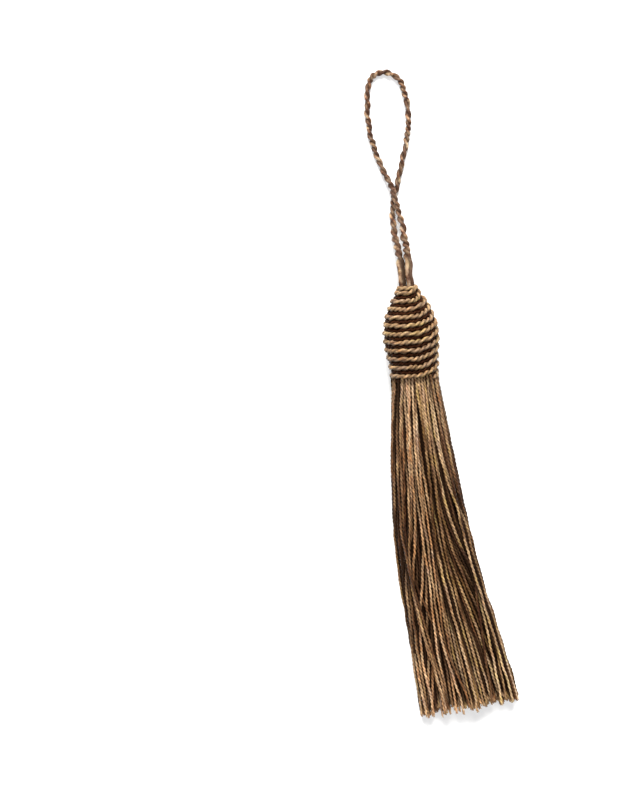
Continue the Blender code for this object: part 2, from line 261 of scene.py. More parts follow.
# Stray yarns: top yarns that leave their neighbours and cross over them
STRAY_YARNS = 20
STRAY_SIGHT = 0.6 * MM  # a stray has nothing higher than itself this near
STRAY_TIE = 1e-6 * MM  # heights this close count as the same
STRAY_LEAVES = (10, 60)  # mm below the head
STRAY_DRIFTS = ((-5.0, -2.0), (4.0, 9.0), (8.0, 18.0))  # mm across, as (least, most)
STRAY_LENGTH = 1.15  # of the skirt's, by which the whole drift would be reached
STRAY_INSET = (2.5, 8.0)  # yarn radii that it keeps from the skirt's edge
STRAY_LIFTS_FROM, STRAY_LIFTS_OVER = 0.1 * MM, 0.5 * MM  # off its own line
STRAY_BRIDGING = 10  # rounds that stretch it over hollows

# The cut across the skirt's end, and the wisps of fibre that spread there
CUT_AT = 111.9 * MM  # below the head, on the skirt's left side
CUT_RISE = 2.8 * MM  # how much shorter the skirt is on its right side
CUT_UNEVEN = 0.55 * MM  # one yarn's end against its lock's
LOCK_UNEVEN = 0.7 * MM
CUT_LEAST = -1.5 * MM  # the shortest yarn against the last station
WISPS, WISP_POINTS, WISP_SIDES = 6, 5, 4
WISP_PLACE = (0.1, 0.7)  # yarn radii from its middle
WISP_REACH = (0.30, 0.80)  # mm past its end
WISP_START = 0.6  # of that reach, before its end
WISP_SPREAD = (0.0, 0.45)  # of that reach
WISP_GIRTH = (0.28, 0.45)  # of the yarn's radius
WISP_TAPER = 0.15
WISP_TURN, WISP_PLIES = 1.0, 0.1  # as good as straight and round
WISP_LOWEST = 0.1 * MM  # its middle over the floor
END_POINTS = 6  # the yarn's last points, which say where its end heads
CUT_TONE = 0.1  # how much lighter a cut end is than its yarn

# How much the yarns hide one another, for the painted shade between them
BESIDE_FROM, BESIDE_BELOW = 0.2 * MM, 0.7 * MM  # a neighbour is further across, and no lower than this
COVER_FROM, COVER_FADE = 1.0 * MM, 1.6 * MM  # it hides a side fully up to here, and less beyond
ABOVE_FROM, ABOVE_TO = -0.25 * MM, 1.15 * MM  # across, between which a yarn lies over another's side
COVER_WEIGHTS = (0.6, 0.4)  # of what lies over the side that is covered less, and more
EDGE_REACH, EDGE_WEIGHTS = 0.35 * MM, (0.8, 0.1)  # and for the outermost yarns
DEPTH_FROM, DEPTH_FADE = 0.10 * MM, 0.64 * MM
FLANK_FROM = 0.80  # of a yarn's radius above its centre, where painted shade on its flanks begins
FLANK_FADE = 1.0
SHADE_SMOOTHING = 5  # rounds, along each yarn
SAME_LOCK_SHADE = (0.04, 0.88)  # of that shade, between one lock's yarns at the neck and opened
SAME_LOCK_FROM, SAME_LOCK_OVER = 8 * MM, 32 * MM  # below the head, where it changes
TIP_LENGTH = 2.2 * MM  # before the cut ends, where the painted shade of its neighbours fades out
ROOT_SHADOW = 0.75  # painted shadow that the winding casts on the yarns right under it
ROOT_FROM, ROOT_FADE = 0.3 * MM, 2.0 * MM

# Each yarn's own tone and hue, from 0 to 1
NECK_TONE = 0.74  # the tone that all yarns come near at the neck
MIDDLE_SHADE = 0.20  # painted shade: how much lower the tone is half way down, where the yarns part and the pile's depth shows
LOCK_TONE, LOCK_HUE = 0.55, 0.5  # the share that a lock's yarns have in common
TONE_SPREAD = (0.62, 0.48)  # of the tones at the neck, and what comes to it further down
HUE_SPREAD = (0.5, 0.5)
COLORS_PART_FROM, COLORS_PART_OVER = 4 * MM, 50 * MM

# The yarns' dye, as (share of its patches, color) from dark to light
# near black: partly the dark cord's own color, partly painted shade in the hollows between the head's
# rows; the bulb under the cords has it too
DARK_CORD_TONES = (
    (0.10, (0.007, 0.002, 0.001)),
    (0.50, (0.021, 0.006, 0.002)),
    (0.90, (0.062, 0.024, 0.010)),
)
BRIGHT_CORD_TONES = (
    (0.22, (0.139, 0.064, 0.027)),
    (0.42, (0.252, 0.144, 0.066)),
    (0.62, (0.374, 0.246, 0.131)),
    (0.82, (0.496, 0.357, 0.217)),
)
SKIRT_TONES = (
    (0.18, (0.036, 0.012, 0.005)),
    (0.34, (0.155, 0.079, 0.036)),
    (0.50, (0.348, 0.215, 0.110)),
    (0.68, (0.540, 0.375, 0.222)),
    (0.86, (0.730, 0.560, 0.385)),
)
LOOP_TONES = (
    (0.36, (0.021, 0.005, 0.003)),
    (0.44, (0.091, 0.033, 0.017)),
    (0.52, (0.261, 0.157, 0.092)),
    (0.62, (0.487, 0.370, 0.242)),
)

# Each yarn: patch length in mm, painted shade between its plies, how dark its darker ply is, its shine
LOOP_YARN = dict(patch_length=2.2, groove_shade=0.9, ply_shade=0.7, shine=0.4)
SKIRT_YARN = dict(patch_length=14.0, groove_shade=0.45, ply_shade=0.16, shine=0.18)
BRIGHT_YARN = dict(patch_length=5.0, groove_shade=0.65, ply_shade=0.22, shine=0.4)
DARK_YARN = dict(patch_length=6.0, groove_shade=0.8, ply_shade=0.16, shine=0.04)
TONE_WEIGHT = 0.65  # of a yarn's own tone, against that of its patches
PATCH_RANGE = (0.28, 0.72)  # of the noise, from the darkest patch to the lightest

# Tints over the dye, as (the noise where one begins, where it is full, its color)
REDDISH = (0.46, 0.28, (0.97, 0.73, 0.56))
OLIVE = (0.54, 0.72, (0.92, 0.95, 0.60))
DUSTY = (0.48, 0.62, (0.80, 0.78, 0.92))
TINT_STRENGTH = 0.9
HUE_WEIGHT = 0.25  # how far a yarn's own hue moves it towards reddish or olive

# How fine the patches and the noises are across a yarn (twice) and along it, for each mm
PATCH_ACROSS = 0.35
DYE_FINENESS = (0.6, 0.6, 0.17)
WEAR_FINENESS = (0.3, 0.3, 0.11)
FIBRE_FINENESS = (3.6, 3.6, 0.9)
MOTTLE_FINENESS = (1.2, 1.2, 0.8)

# What the fibres and the mottle multiply the color by
FIBRE_TONES = (
    (0.28, (0.60, 0.56, 0.54)),
    (0.50, (1.00, 1.00, 1.00)),
    (0.72, (1.38, 1.36, 1.32)),
)
MOTTLE_TONES = (
    (0.34, (0.62, 0.58, 0.55)),
    (0.50, (0.98, 0.98, 0.98)),
    (0.66, (1.35, 1.33, 1.28)),
)

# The colors that darken a yarn: its darker ply's own color, painted shade between its plies, and painted
# shade where neighbouring yarns, rows or legs hide it
PLY_DARK = (0.040, 0.011, 0.006)
PLY_EDGE = 0.3  # how softly one ply's color turns into the other's
GROOVE_SHADE_COLOR = (0.018, 0.005, 0.002)
GROOVE_POWER = 1.3
PAINTED_SHADE_COLOR = (0.013, 0.004, 0.001)

# Sheen: the fibres' roughness, what shade adds to it, and their relief
FIBRE_RANGE = (0.2, 0.8)
ROUGHNESS = (0.34, 0.55)
SHADE_ROUGHNESS = 0.4
SPECULAR_TINT = (1.0, 0.82, 0.60, 1.0)
FIBRE_RELIEF, RELIEF_STRENGTH = 0.16 * MM, 0.8

rng = np.random.default_rng(YARN_SEED)
color_rng = np.random.default_rng(COLOR_SEED)


# ---- curves


def smooth_curve(knots, steps):
    """Points on a Catmull-Rom curve through the knots, with this many steps between two of them."""
    knots = np.asarray(knots, float)
    ends = np.vstack([2 * knots[0] - knots[1], knots, 2 * knots[-1] - knots[-2]])
    t = np.arange(steps)[:, None] / steps
    spans = []
    for before, start, end, after in zip(ends, ends[1:], ends[2:], ends[3:]):
        bend = 2 * before - 5 * start + 4 * end - after
        curl = 3 * (start - end) + after - before
        spans.append(start + 0.5 * t * ((end - before) + t * (bend + t * curl)))
    return np.vstack([*spans, knots[-1:]])


def lengths_along(points):
    steps = np.linalg.norm(np.diff(points, axis=0), axis=1)
    return np.concatenate([[0.0], np.cumsum(steps)])


def at_lengths(points, wanted):
    along = lengths_along(points)
    return np.stack([np.interp(wanted, along, column) for column in points.T], axis=1)


def evenly(points, spacing):
    """The curve again, with its points about this far apart."""
    length = lengths_along(points)[-1]
    return at_lengths(points, np.linspace(0.0, length, max(2, round(length / spacing) + 1)))


def smoothstep(t):
    t = np.clip(t, 0.0, 1.0)
    return t * t * (3.0 - 2.0 * t)


def unit(vectors):
    return vectors / np.linalg.norm(vectors, axis=1)[:, None]


def uneven(where, size, wavelength):
    """A smooth random line of about this size, made of a few sines."""
    total = np.zeros_like(where)
    for _ in range(WAVES):
        length = wavelength * rng.uniform(*WAVE_LENGTHS)
        total += np.sin(2 * math.pi * where / length + rng.uniform(0, 2 * math.pi))
    return size * (total / math.sqrt(WAVES / 2))


# ---- where the head lies, as in the part


def head_outline():
    return smooth_curve(HEAD_OUTLINE, OUTLINE_STEPS) * MM


def head_base_height():
    station, radius = head_outline().T
    reach = station * math.sin(HEAD_TILT) - radius * math.cos(HEAD_TILT)
    return -HEAD_SINK - reach.min()


def head_base():
    """The middle of the head's lower end. The part's origin lies under its resting row."""
    outline = head_outline()
    start = np.interp(0.0, outline[:, 0], lengths_along(outline))
    station, radius = at_lengths(outline, [start + (RESTING_ROW + 0.5) * ROW_PITCH])[0]
    forward = station * math.cos(HEAD_TILT) + radius * math.sin(HEAD_TILT)
    return Vector((0.0, -forward, head_base_height()))


def head_matrix():
    """The head's own Z axis runs from its lower end to the loop, and its own -Y side is on top."""
    turn = Matrix.Rotation(HEAD_TILT - math.pi / 2, 4, "X")
    return Matrix.Translation(head_base()) @ turn


def placed(matrix, points):
    return points @ np.array(matrix.to_3x3()).T + np.array(matrix.translation)


# ---- twisted yarn as meshes


def around(sides):
    """Even angles round a section."""
    return 2 * math.pi * np.arange(sides) / sides


def ply_radius(angle, offset):
    """The outline of two round plies side by side, of unit reach: crests at 0 and half a turn.

    offset is how far each ply's middle is from the yarn's.
    """
    ply = 1.0 - offset
    across = np.clip(ply**2 - (offset * np.sin(angle)) ** 2, 0.0, None)
    return offset * np.abs(np.cos(angle)) + np.sqrt(across)


def twisted_tube(path, radius, turn, sides, offset, phase=0.0, up=(0.0, 0.0, 1.0)):
    """A two-ply yarn with an S twist along the path.

    Gives its rings of points, each point's place in the yarn (across, across, along), how deep it
    lies between the plies, and which ply it is on.
    """
    count = len(path)
    along = lengths_along(path)
    tangent = unit(np.gradient(path, along, axis=0))
    side = unit(np.cross(tangent, np.broadcast_to(up, path.shape)))
    above = np.cross(side, tangent)
    side = np.cross(tangent, above)
    section = around(sides)
    share = ply_radius(section, offset)
    turned = section[None, :] + (phase - 2 * math.pi * along / turn)[:, None]
    reach = np.broadcast_to(radius, (count,))[:, None] * share[None, :]
    rings = (
        path[:, None, :]
        + (reach * np.cos(turned))[..., None] * above[:, None, :]
        + (reach * np.sin(turned))[..., None] * side[:, None, :]
    )
    place = np.stack(
        [reach * np.cos(turned), reach * np.sin(turned), np.broadcast_to(along[:, None], turned.shape)],
        axis=-1,
    )
    groove = np.broadcast_to((1.0 - share) / (1.0 - share.min()), turned.shape)
    ply = np.broadcast_to(np.cos(section), turned.shape)
    return rings, place, groove, ply


def tube_faces(count, sides, first):
    """Quads between the rings of one tube, and a face on each end."""
    ring = first + np.arange(count - 1)[:, None] * sides
    here = np.arange(sides)[None, :]
    beside = (here + 1) % sides
    quads = np.stack([ring + here, ring + beside, ring + sides + beside, ring + sides + here], axis=-1)
    last = first + (count - 1) * sides
    caps = [list(range(first + sides - 1, first - 1, -1)), list(range(last, last + sides))]
    return quads.reshape(-1, 4).tolist() + caps


def new_object(name, data):
    thing = bpy.data.objects.new(name, data)
    bpy.context.scene.collection.objects.link(thing)
    return thing


class YarnMesh:
    """Gathers tubes into one mesh, with what the yarn materials read of each point."""

    def __init__(self):
        self.points, self.faces = [], []
        self.place, self.groove, self.ply = [], [], []
        self.tone, self.hue, self.shade = [], [], []
        self.count = 0

    def add(self, tube, number, tone=0.5, hue=0.5, shade=0.0):
        """number, from 0 to 1, sets the yarn's patches apart from others'. tone runs from dark to
        light and hue from rust to olive. shade is the painted shade at each point, where other yarns,
        rows or legs hide it. What would reach into the surface is pressed flat."""
        rings, place, groove, ply = tube
        rings[..., 2] = np.maximum(rings[..., 2], LOWEST)
        count, sides = rings.shape[:2]
        self.faces += tube_faces(count, sides, self.count)
        self.points.append(rings.reshape(-1, 3))
        self.place.append(place.reshape(-1, 3) + (0.0, 0.0, number))
        self.groove.append(groove.reshape(-1))
        self.ply.append(ply.reshape(-1))
        for values, by_ring in ((self.tone, tone), (self.hue, hue)):
            values.append(np.repeat(np.broadcast_to(by_ring, count), sides))
        self.shade.append(np.broadcast_to(shade, (count, sides)).reshape(-1))
        self.count += count * sides

    def make(self, name, material, slot, *nodes):
        mesh = bpy.data.meshes.new(name)
        mesh.from_pydata(np.vstack(self.points).tolist(), [], self.faces)
        mesh.attributes.new("place", "FLOAT_VECTOR", "POINT").data.foreach_set(
            "vector", (np.vstack(self.place) / MM).ravel()
        )
        for key in ("groove", "ply", "tone", "hue", "shade"):
            attribute = mesh.attributes.new(key, "FLOAT", "POINT")
            attribute.data.foreach_set("value", np.concatenate(getattr(self, key)))
        mesh.shade_smooth()
        mesh.update()
        mesh.materials.append(material)
        thing = new_object(name, mesh)
        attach(thing, "root")
        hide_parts(*nodes)
        return thing


# ---- materials


class Nodes:
    """Short calls for building one material's nodes."""

    def __init__(self, name):
        self.material = bpy.data.materials.new(name)
        self.material.use_nodes = True
        self.tree = self.material.node_tree
        self.shader = self.tree.nodes["Principled BSDF"]

    def link(self, socket, value):
        """Links the socket to another, or sets its value."""
        if isinstance(value, bpy.types.NodeSocket):
            self.tree.links.new(socket, value)
        else:
            socket.default_value = value

    def node(self, kind, *values, **settings):
        """A new node with these settings. The values go to its first inputs, in order."""
        node = self.tree.nodes.new(kind)
        for key, setting in settings.items():
            setattr(node, key, setting)
        for socket, value in zip(node.inputs, values):
            self.link(socket, value)
        return node

    def attribute(self, name, output="Fac"):
        return self.node("ShaderNodeAttribute", attribute_name=name).outputs[output]

    def math(self, operation, first, second, clamp=False):
        node = self.node("ShaderNodeMath", first, second, operation=operation, use_clamp=clamp)
        return node.outputs[0]

    def noise(self, vector, fineness, detail=2.0, rough=0.6):
        scaled = self.node("ShaderNodeVectorMath", vector, fineness, operation="MULTIPLY")
        node = self.node("ShaderNodeTexNoise", scaled.outputs[0])
        for key, value in (("Scale", 1.0), ("Detail", detail), ("Roughness", rough)):
            node.inputs[key].default_value = value
        return node.outputs["Fac"]

    def ramp(self, factor, stops):
        node = self.node("ShaderNodeValToRGB", factor)
        elements = node.color_ramp.elements
        while len(elements) < len(stops):
            elements.new(0.5)
        for element, (place, color) in zip(elements, stops):
            element.position = place
            element.color = (*color, 1.0)
        return node.outputs[0]

    def span(self, value, low, high, to_low=0.0, to_high=1.0):
        return self.node("ShaderNodeMapRange", value, low, high, to_low, to_high).outputs[0]

    def mix(self, factor, first, second, blend="MIX"):
        node = self.node("ShaderNodeMix", data_type="RGBA", blend_type=blend)
        self.link(node.inputs["Factor"], factor)
        self.link(node.inputs["A"], (*first, 1.0) if isinstance(first, tuple) else first)
        self.link(node.inputs["B"], (*second, 1.0) if isinstance(second, tuple) else second)
        return node.outputs["Result"]

    def tinted(self, color, amount, tint):
        return self.mix(amount, color, self.mix(1.0, color, tint, "MULTIPLY"))

    def bump(self, height, distance, strength):
        node = self.node("ShaderNodeBump")
        node.inputs["Strength"].default_value = strength
        node.inputs["Distance"].default_value = distance
        self.link(node.inputs["Height"], height)
        return node.outputs[0]


def yarn_material(name, tones, patch_length, groove_shade, ply_shade, shine):
    """Spun yarn: tones in patches, painted shade between its plies and where hidden, fine fibres along
    it.
    """
    make = Nodes(name)
    place = make.attribute("place", "Vector")
    keys = ("groove", "ply", "tone", "hue", "shade")
    groove, ply, tone, hue, shade = (make.attribute(key) for key in keys)

    patches = make.noise(place, (PATCH_ACROSS, PATCH_ACROSS, 1.0 / patch_length), detail=3.0)
    spread = make.math("MULTIPLY", make.span(patches, *PATCH_RANGE), 1.0 - TONE_WEIGHT)
    color = make.ramp(make.math("ADD", spread, make.math("MULTIPLY", tone, TONE_WEIGHT)), tones)

    flecks = make.noise(place, DYE_FINENESS)
    dyed = make.math("ADD", flecks, make.span(hue, 0.0, 1.0, -HUE_WEIGHT, HUE_WEIGHT))
    worn = make.noise(place, WEAR_FINENESS)
    for wave, (begins, full, tint) in ((dyed, REDDISH), (dyed, OLIVE), (worn, DUSTY)):
        color = make.tinted(color, make.span(wave, begins, full, 0.0, TINT_STRENGTH), tint)
    fibre = make.noise(place, FIBRE_FINENESS, detail=3.0, rough=0.65)
    color = make.mix(1.0, color, make.ramp(fibre, FIBRE_TONES), "MULTIPLY")
    mottle = make.noise(place, MOTTLE_FINENESS)
    color = make.mix(1.0, color, make.ramp(mottle, MOTTLE_TONES), "MULTIPLY")

    darker = make.math("MULTIPLY", make.span(ply, -PLY_EDGE, PLY_EDGE), ply_shade)
    color = make.mix(darker, color, PLY_DARK)
    # painted shade in the grooves between the plies
    between = make.math("MULTIPLY", make.math("POWER", groove, GROOVE_POWER), groove_shade)
    color = make.mix(between, color, GROOVE_SHADE_COLOR)
    # painted shade: the shade attribute darkens the color towards near black
    make.link(make.shader.inputs["Base Color"], make.mix(shade, color, PAINTED_SHADE_COLOR))

    gloss = make.span(fibre, *FIBRE_RANGE, *ROUGHNESS)
    hidden = make.math("MULTIPLY", shade, SHADE_ROUGHNESS)
    make.link(make.shader.inputs["Roughness"], make.math("ADD", gloss, hidden, clamp=True))
    make.shader.inputs["Specular IOR Level"].default_value = shine
    make.shader.inputs["Specular Tint"].default_value = SPECULAR_TINT
    make.link(make.shader.inputs["Normal"], make.bump(fibre, FIBRE_RELIEF, RELIEF_STRENGTH))
    return make.material


def floor_material():
    make = Nodes("floor")
    make.shader.inputs["Base Color"].default_value = FLOOR_COLOR
    make.shader.inputs["Roughness"].default_value = FLOOR_ROUGHNESS
    return make.material


# ---- camera, light and floor


def make_camera():
    data = bpy.data.cameras.new("camera")
    camera = new_object("camera", data)
    picture_up = Vector((math.sin(CAMERA_ROLL), math.cos(CAMERA_ROLL), 0.0))
    right = Vector((math.cos(CAMERA_ROLL), -math.sin(CAMERA_ROLL), 0.0))
    back = math.sin(CAMERA_LEAN) * picture_up + math.cos(CAMERA_LEAN) * Vector((0, 0, 1))
    turn = Matrix((right, back.cross(right), back)).transposed().to_4x4()
    camera.matrix_world = Matrix.Translation(CAMERA_TARGET + CAMERA_DISTANCE * back) @ turn
    data.lens = data.sensor_width * CAMERA_DISTANCE / (PICTURE_HEIGHT * PIXEL)
    data.clip_start, data.clip_end = CLIP_START, CLIP_END
    bpy.context.scene.camera = camera


def soft_sun(name, toward, strength, spread, color):
    """Even soft light from far away; toward points from the tassel to the light."""
    data = bpy.data.lights.new(name, "SUN")
    data.energy = strength
    data.angle = math.radians(spread)
    data.color = color
    light = new_object(name, data)
    light.rotation_euler = (-Vector(toward)).to_track_quat("-Z", "Y").to_euler()


def make_studio():
    soft_sun("key", *KEY_LIGHT)
    soft_sun("fill", *FILL_LIGHT)
    world = bpy.data.worlds.new("studio")
    world.use_nodes = True
    background = world.node_tree.nodes["Background"]
    background.inputs["Color"].default_value = (1.0, 1.0, 1.0, 1.0)
    seen = world.node_tree.nodes.new("ShaderNodeLightPath")
    strength = world.node_tree.nodes.new("ShaderNodeMapRange")
    strength.inputs["To Min"].default_value = AMBIENT
    strength.inputs["To Max"].default_value = BACKDROP
    world.node_tree.links.new(strength.inputs["Value"], seen.outputs["Is Camera Ray"])
    world.node_tree.links.new(background.inputs["Strength"], strength.outputs["Result"])
    bpy.context.scene.world = world
    bpy.context.scene.view_settings.view_transform = "Standard"

    bpy.ops.mesh.primitive_plane_add(size=FLOOR_SIZE, location=(0.0, 0.0, -FLOOR_DROP))
    floor = bpy.context.object
    floor.name = "floor"
    floor.data.materials.append(floor_material())


# ---- loop


def leg_shade(rings, path, radius, from_head):
    """The painted shade on the loop's two legs near the head, where they hide each other's inner sides.
    """
    rightward = (rings[..., 0] - path[:, None, 0]) / radius[:, None]
    near_head = 1.0 - smoothstep((from_head - LEG_SHADE_REACH) / LEG_SHADE_FADE)[:, None]
    left, right = (
        most * smoothstep((inward - begins) / over)
        for inward, (begins, over, most) in ((rightward, LEFT_LEG_SHADE), (-rightward, RIGHT_LEG_SHADE))
    )
    inner = np.where(path[:, None, 0] < 0.0, left, right)
    return near_head * (LEG_SHADE_LEAST + LEG_SHADE_INSIDE * inner)


def make_loop(material):
    base = head_base()
    seat_floor = HEAD_LENGTH - SEAT_DEPTH + PIECE_GAP
    legs = [head_matrix() @ Vector((side * LEG_OFFSET, 0.0, seat_floor)) for side in (-1, 1)]
    route = [(x * MM, base.y + y * MM, z * MM) for x, y, z in LOOP_ROUTE]
    path = evenly(smooth_curve([tuple(legs[0]), *route, tuple(legs[1])], ROUTE_STEPS), LOOP_STEP)
    along = lengths_along(path)
    path[:, 0] += uneven(along, *LOOP_SLIDE)
    from_head = np.minimum(along, along[-1] - along)
    radius = LOOP_GIRTH * CORD_DIAMETER / 2 * (1.0 + uneven(along, *LOOP_GIRTH_WAVE))
    radius = radius * np.interp(from_head / MM, *np.array(LEG_GIRTH).T)
    twisted = smoothstep((from_head - LEG_STRAIGHT) / LEG_WINDS)
    wound = np.cumsum(twisted) * (along[1] - along[0])
    turns = round(wound[-1] / LOOP_TURN) + (LEG_ANGLES[0] - LEG_ANGLES[1]) / 360
    phase = math.radians(LEG_ANGLES[0]) - 2 * math.pi * turns * wound / wound[-1]
    phase += twisted * uneven(along, *LOOP_TWIST)
    tube = twisted_tube(path, radius, math.inf, LOOP_SIDES, LOOP_PLIES, phase)
    yarns = YarnMesh()
    yarns.add(tube, LOOP_NUMBER, shade=leg_shade(tube[0], path, radius, from_head))
    loop = yarns.make("hanging_loop", material, "loop_cord", "loop_cord")


# ---- head


def winding_path(step, sink, row_share):
    """The helix of a cord wound in rows, its centre this far under the rows' crest.

    Gives the points and the bulb's outward direction at each, in world coordinates.
    """
    outline = head_outline()
    along = lengths_along(outline)
    slope = np.gradient(outline, along, axis=0)
    start = np.interp(0.0, outline[:, 0], along)
    turns = np.linspace(FIRST_TURN, LAST_TURN, WINDING_POINTS)
    turn = turns % 1.0
    row = np.floor(turns)
    climb = smoothstep((turn - CLIMB_FROM) / (CLIMB_TO - CLIMB_FROM))
    length = start + ROW_PITCH * np.minimum(row + row_share + climb, LAST_ROW)
    station, radius, rise, widen = (
        np.interp(length, along, column) for column in (*outline.T, *slope.T)
    )
    angle = 2 * math.pi * (turn - 0.75)  # a turn starts on the underside
    outward = unit(np.stack([rise * np.cos(angle), rise * np.sin(angle), -widen], axis=1))
    crest = np.stack([radius * np.cos(angle), radius * np.sin(angle), station], axis=1)
    matrix = head_matrix()
    path = placed(matrix, crest - sink * outward)
    outward = outward @ np.array(matrix.to_3x3()).T
    both = evenly(np.hstack([path, outward * MM]), step)
    return both[:, :3], unit(both[:, 3:])


def wound_cord(name, material, radius, turn, sink, row, step, sides, shade):
    path, outward = winding_path(step, sink, row)
    along = lengths_along(path)
    tangent = np.gradient(path, along, axis=0)
    slide = np.cross(outward, tangent) * uneven(along, *ROW_SLIDE)[:, None]
    path = path + slide + outward * uneven(along, *ROW_LIFT)[:, None]
    girth = radius * (1.0 + uneven(along, *ROW_GIRTH))
    tube = twisted_tube(path, girth, turn, sides, HEAD_PLIES, uneven(along, *ROW_TWIST), up=outward)
    up_the_head = np.array(head_matrix().col[2][:3])
    uphill = ((tube[0] - path[:, None, :]) / girth[:, None, None]) @ up_the_head
    yarns = YarnMesh()
    # painted shade on the side of each row towards the skirt
    shade = shade * smoothstep((SHADE_FROM - uphill) / SHADE_FADE)
    yarns.add(tube, HEAD_NUMBER, HEAD_TONE, shade=shade)
    yarns.make(name, material, "head_cord", "head")


def head_core(material):
    """What the cords are wound over: a closed bulb, a little under them."""
    outline = head_outline()
    along = lengths_along(outline)
    first, last = (np.interp(station, outline[:, 0], along) for station in (CORE_FROM, CORE_TO))
    points = at_lengths(outline, np.linspace(first, last, CORE_RINGS))
    radius = np.maximum(points[:, 1] - CORE_SINK, CORE_LEAST_RADIUS)
    angle = around(CORE_SIDES)
    place = np.stack(
        [
            radius[:, None] * np.cos(angle),
            radius[:, None] * np.sin(angle),
            np.broadcast_to(points[:, :1] - CORE_SHIFT, (CORE_RINGS, CORE_SIDES)),
        ],
        axis=-1,
    )
    rings = placed(head_matrix(), place)
    flat = np.zeros(rings.shape[:2])
    yarns = YarnMesh()
    yarns.add((rings, place, flat, flat), CORE_NUMBER)
    yarns.make("head_core", material, "head_cord", "head")


def make_head(bright, dark):
    head_core(dark)
    wound_cord("head_dark_cord", dark, **DARK_CORD)
    wound_cord("head_bright_cord", bright, **BRIGHT_CORD)


# ---- skirt


def skirt_outline_at(distance):
    table = np.array(SKIRT_OUTLINE) * MM
    return [np.interp(distance, table[:, 0], column) for column in table.T[1:]]


def yarn_radius(distance):
    share = np.clip(distance / SKIRT_LENGTH, 0.0, 1.0)
    return YARN_RADIUS_ROOT + (YARN_RADIUS_END - YARN_RADIUS_ROOT) * share


def root_places():
    """Where the yarns leave the neck: rings inside one another, as (across, above the axis)."""
    places = []
    radius = ROOT_RADIUS
    while radius > ROOT_SPACING / 2:
        count = int(2 * math.pi * radius / ROOT_SPACING)
        first = rng.uniform(0, 2 * math.pi)
        for k in range(count):
            angle = first + 2 * math.pi * k / count
            places.append((radius * math.cos(angle), radius * math.sin(angle)))
        radius -= ROOT_RING_SPACING * ROOT_SPACING
    return np.array(places)


def lock_of(places):
    """Which lock each yarn belongs to: the nearest of evenly spread centres."""
    k = np.arange(LOCKS) + 0.5
    radius = ROOT_RADIUS * np.sqrt(k / LOCKS)
    angle = k * math.pi * (3.0 - math.sqrt(5.0))  # the golden angle
    centres = np.stack([radius * np.cos(angle), radius * np.sin(angle)], axis=1)
    centres += rng.normal(0.0, LOCK_SCATTER, centres.shape)
    apart = np.linalg.norm(places[:, None, :] - centres[None, :, :], axis=2)
    return apart.argmin(axis=1)


def push_apart(places, reach, floor, sides, dome_top, slack, rounds):
    """Yarns nearer than their reach part, and stay on the surface and inside the pile's outline."""
    itself = np.eye(len(places))
    for _ in range(rounds):
        apart = places[:, None, :] - places[None, :, :]
        distance = np.hypot(apart[..., 0], apart[..., 1]) + itself + 1e-12
        short = np.clip(reach - distance, 0.0, None) * (1.0 - itself)
        places = places + PUSH * (apart / distance[..., None] * short[..., None]).sum(axis=1)
        across = np.clip(places[:, 0], *sides)
        share = (2 * across - sides[0] - sides[1]) / (sides[1] - sides[0])
        dome = floor + slack + (dome_top - floor) * np.sqrt(1.0 - DOME_EDGE * share**2)
        places = np.stack([across, np.clip(places[:, 1], floor, dome)], axis=1)
    return places


def without_gaps(across, widest):
    """The yarns' places across the pile, drawn in until no two neighbours lie further apart."""
    order = across.argsort()
    excess = np.clip(np.diff(across[order]) - widest, 0.0, None)
    drawn = np.concatenate([[0.0], np.cumsum(excess)])
    drawn -= drawn[len(drawn) // 2]
    across = across.copy()
    across[order] -= drawn
    return across


def lock_pull(distance, opening):
    """How strongly a lock draws its yarns together: most near the neck, but not right at it."""
    fading = 1.0 - smoothstep((distance - PULL_FADES_FROM) / PULL_FADES_OVER)
    pull = LOCK_PULL * (1.0 - PULL_LOST * opening) * (PULL_AT_END + (1.0 - PULL_AT_END) * fading)
    return pull * (PULL_AT_NECK + (1.0 - PULL_AT_NECK) * smoothstep(distance / PULL_GROWS_OVER))


def settled_yarns():
    """Each yarn's points as (across, below the head, height), and which lock each belongs to."""
    places = root_places()
    lock = lock_of(places)
    same = lock[:, None] == lock[None, :]
    gather = same / same.sum(axis=1)[:, None]
    lift = rng.uniform(-LOCK_LIFT, LOCK_LIFT, LOCKS)[lock]
    room = np.minimum(rng.exponential(YARN_ROOM, len(places)), MOST_ROOM * YARN_ROOM)
    room = 0.5 * (room[:, None] + room[None, :])
    places[:, 1] = head_base_height() + places[:, 1] * math.cos(HEAD_TILT)
    distances = np.arange(0.0, SKIRT_LENGTH + STATION_STEP / 2, STATION_STEP)
    wander = np.stack([uneven(distances, 1.0, WANDER_LENGTH) for _ in places])
    wander = WANDER * np.diff(wander, axis=1, prepend=wander[:, :1])
    left, right, _ = skirt_outline_at(0.0)
    found = []
    for station, distance in enumerate(distances):
        radius = yarn_radius(distance)
        new_left, new_right, top = skirt_outline_at(distance)
        share = (places[:, 0] - left) / (right - left)
        left, right = new_left, new_right
        places[:, 0] = left + share * (right - left)
        opening = smoothstep((distance - LOCKS_OPEN_FROM) / LOCKS_OPEN_OVER)
        together = 2 * radius * (LOCK_REACH + (1.0 - LOCK_REACH) * opening) + room * opening
        reach = np.where(same, together, 2 * radius + np.maximum(LOCK_GAP, room * opening))
        if station:
            pull = lock_pull(distance, opening)
            pile = (
                reach,
                radius,
                (left + radius, right - radius),
                top - PILE_SETTLES * opening - radius + lift * opening,
                DOME_SLACK * max(0.0, 1.0 - distance / DOME_FULL_AT),
            )
            places[:, 0] += wander[:, station]
            for _ in range(SETTLING_STEPS):
                places += pull * (gather @ places - places)
                places[:, 1] -= FALL / SETTLING_STEPS * min(1.0, distance / FALL_FULL_AT)
                places = push_apart(places, *pile, rounds=SETTLING_ROUNDS)
            places = push_apart(places, *pile, rounds=LAST_ROUNDS)
        found.append(np.insert(places, 1, distance, axis=1))
    return np.stack(found, axis=1), lock


